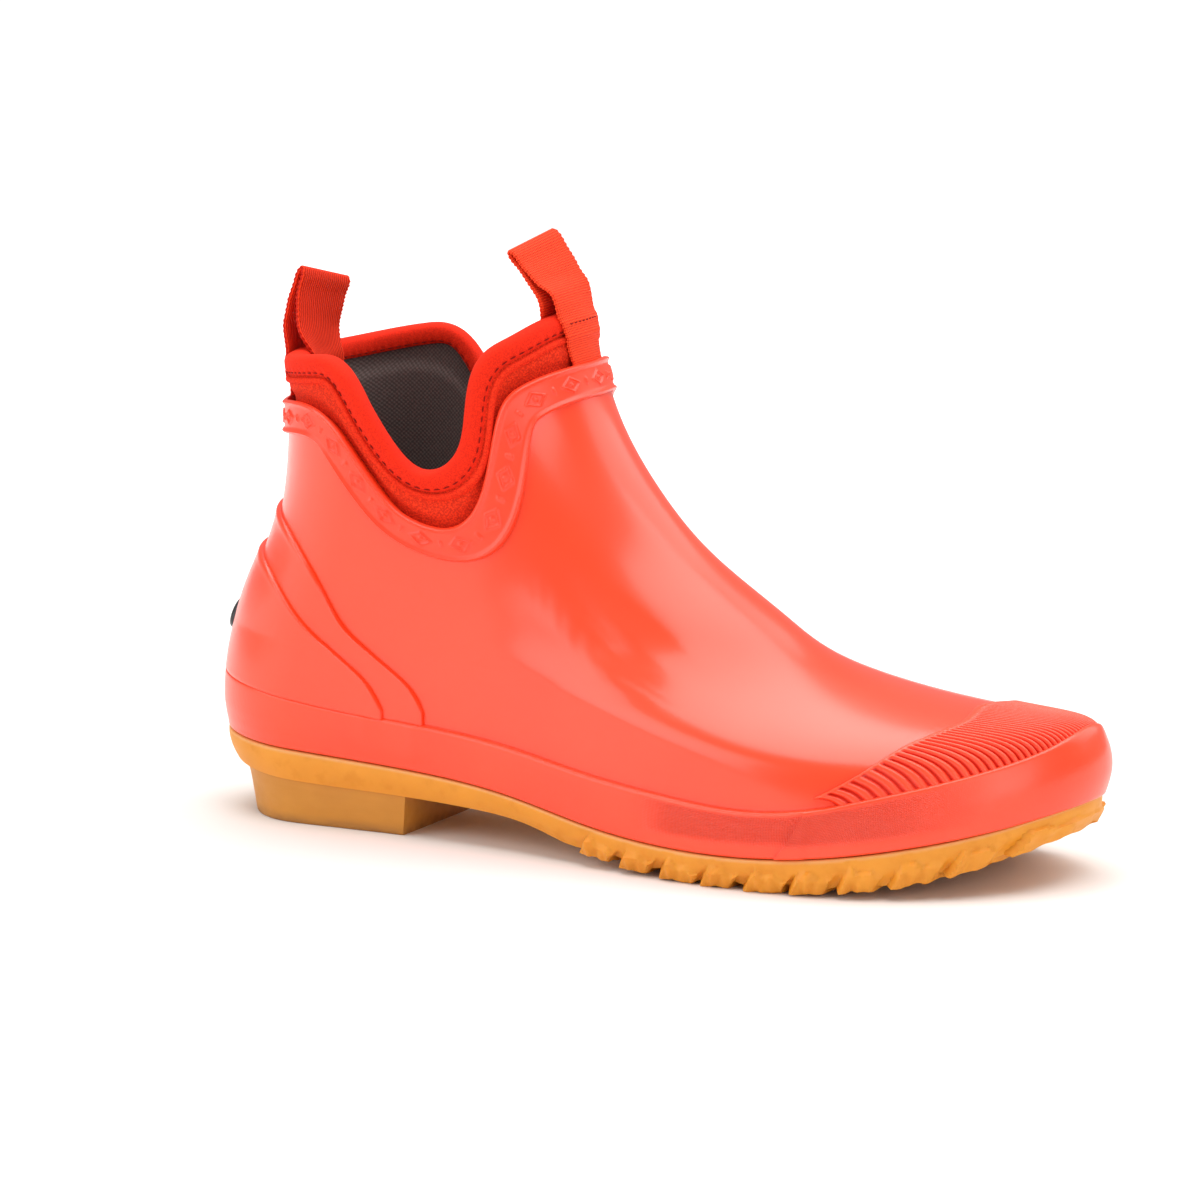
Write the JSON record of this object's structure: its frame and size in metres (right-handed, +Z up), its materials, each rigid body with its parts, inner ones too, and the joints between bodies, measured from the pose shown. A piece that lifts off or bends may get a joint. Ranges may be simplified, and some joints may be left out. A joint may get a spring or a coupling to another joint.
{
  "type": "rubber rain boot",
  "caption": "Ankle-height rubber rain boot with a dipped knit collar, raised collar band, ribbed toe cap, gum outsole with heel block and webbing pull loops.",
  "frame": {"origin": "middle of the heel block's underside, on the ground", "axes": "+X to the toe, +Y to the inner side of the right foot, +Z up"},
  "size_m": [0.2854, 0.1033, 0.1856],
  "materials": {
    "coral_rubber": "glossy moulded rubber",
    "gum_rubber": "matt natural gum rubber",
    "heel_rubber": "matt gum rubber, a little darker",
    "neoprene": "knit-faced neoprene",
    "knit_binding": "soft stretch knit tape",
    "lining_fabric": "brushed grey-brown knit",
    "webbing": "woven polyester tape",
    "thread": "polyester sewing thread",
    "stiffener_board": "impregnated non-woven board",
    "filler_felt": "pressed felt",
    "fibreboard": "leatherboard",
    "spring_steel": "rolled strip",
    "foam": "open-cell foam",
    "cover_cloth": "jersey top cloth",
    "badge_rubber": "satin",
    "badge_dot": "satin"
  },
  "bodies": {
    "boot": {"gum_outsole": "gum_rubber", "heel_block": "heel_rubber", "steel_shank": "spring_steel", "bottom_filler": "filler_felt", "insole_board": "fibreboard", "upper_shell": "coral_rubber", "heel_stiffener": "stiffener_board", "toe_puff": "stiffener_board", "neoprene_bootie": "neoprene", "grey_lining": "lining_fabric", "foxing_band": "coral_rubber", "toe_bumper": "coral_rubber", "ribbed_toe_cap": "coral_rubber", "heel_counter": "coral_rubber", "heel_counter_patch": "coral_rubber", "back_stay_strip": "coral_rubber", "collar_band": "coral_rubber", "top_binding": "knit_binding", "collar_piping": "knit_binding", "binding_stitching": "thread", "front_loop_ends": "webbing", "rear_loop_ends": "webbing", "heel_badge": "badge_rubber", "badge_disc": "badge_dot"},
    "footbed": {"footbed": "foam", "footbed_cover": "cover_cloth"},
    "front_loop": {"front_pull_loop": "webbing"},
    "rear_loop": {"rear_pull_loop": "webbing"}
  },
  "joints": [
    {"name": "front_loop_hinge", "type": "hinge", "parent": "boot", "child": "front_loop", "pos_m": [0.07068, 0, 0.16165], "axis": [0, 1, 0], "range_deg": [-60, 90], "stiffness_Nm_per_rad": 0.02},
    {"name": "rear_loop_hinge", "type": "hinge", "parent": "boot", "child": "rear_loop", "pos_m": [-0.01692, 0, 0.1447], "axis": [0, 1, 0], "range_deg": [-90, 50], "stiffness_Nm_per_rad": 0.02},
    {"name": "footbed_lift", "type": "hinge", "parent": "boot", "child": "footbed", "pos_m": [0.225, 0, 0.033], "axis": [0, 1, 0], "range_deg": [0, 3]}
  ]
}
